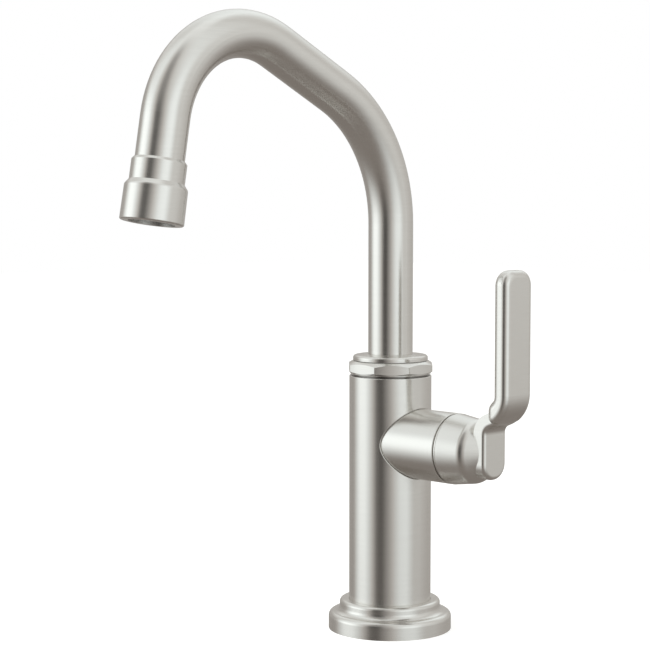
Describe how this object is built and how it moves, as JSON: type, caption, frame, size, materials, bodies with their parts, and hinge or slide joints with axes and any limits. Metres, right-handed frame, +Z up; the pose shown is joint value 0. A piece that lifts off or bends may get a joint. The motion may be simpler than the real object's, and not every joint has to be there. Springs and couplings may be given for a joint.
{
  "type": "beverage faucet",
  "caption": "Deck-mounted beverage faucet with an angled swivel spout, round body on a moulded foot, eight-sided nut and a side lever that turns a ceramic disc valve.",
  "frame": {"origin": "centre of the foot's underside, where the body's axis meets the deck", "axes": "+Z up along the body and neck, -Y along the spout's reach as stored, +X along the side arm towards the lever"},
  "size_m": [0.1134, 0.1988, 0.3024],
  "materials": {
    "brushed_nickel": "brushed nickel plating, satin",
    "brass": "machined",
    "copper_tube": "drawn tube",
    "steel_screw": "plain stainless steel",
    "black_rubber": "matt",
    "white_ceramic": "lapped alumina ceramic, opaque",
    "white_plastic": "acetal, matt",
    "grey_plastic": "acetal, satin",
    "dark_plastic": "moulded, matt"
  },
  "bodies": {
    "body": {"base_ring": "brushed_nickel", "base_gasket": "black_rubber", "mounting_hub": "brass", "body_shell": "brushed_nickel", "inlet_tube": "copper_tube", "inlet_o_rings": "black_rubber", "valve_core": "brass", "cartridge_seal": "black_rubber", "fixed_disc": "white_ceramic", "cartridge_body": "brass", "cartridge_nut": "brass", "side_arm": "brushed_nickel", "arm_glide_ring": "grey_plastic", "spout_post": "brass", "post_o_rings": "black_rubber", "octagon_nut": "brushed_nickel", "lower_glide_ring": "white_plastic", "thrust_washer": "steel_screw", "neck_bushing": "white_plastic", "collar_glide_ring": "grey_plastic"},
    "spout": {"spout_hub": "brass", "spout_collar": "brushed_nickel", "spout_tube": "brushed_nickel", "nozzle_adapter": "brushed_nickel", "aerator_housing": "brushed_nickel", "aerator_washer": "black_rubber", "aerator_insert": "dark_plastic", "aerator_screen": "steel_screw", "flow_regulator": "dark_plastic"},
    "handle": {"lever_handle": "brushed_nickel", "handle_set_screw": "steel_screw", "valve_stem": "brass", "stem_o_rings": "black_rubber", "moving_disc": "white_ceramic", "disc_driver": "white_plastic"}
  },
  "joints": [
    {"name": "spout_swivel", "type": "hinge", "parent": "body", "child": "spout", "pos_m": [0, 0, 0.13], "axis": [0, 0, 1], "continuous": true},
    {"name": "lever_turn", "type": "hinge", "parent": "body", "child": "handle", "pos_m": [0.05, 0, 0.09488], "axis": [1, 0, 0], "range_deg": [0, 90]}
  ]
}
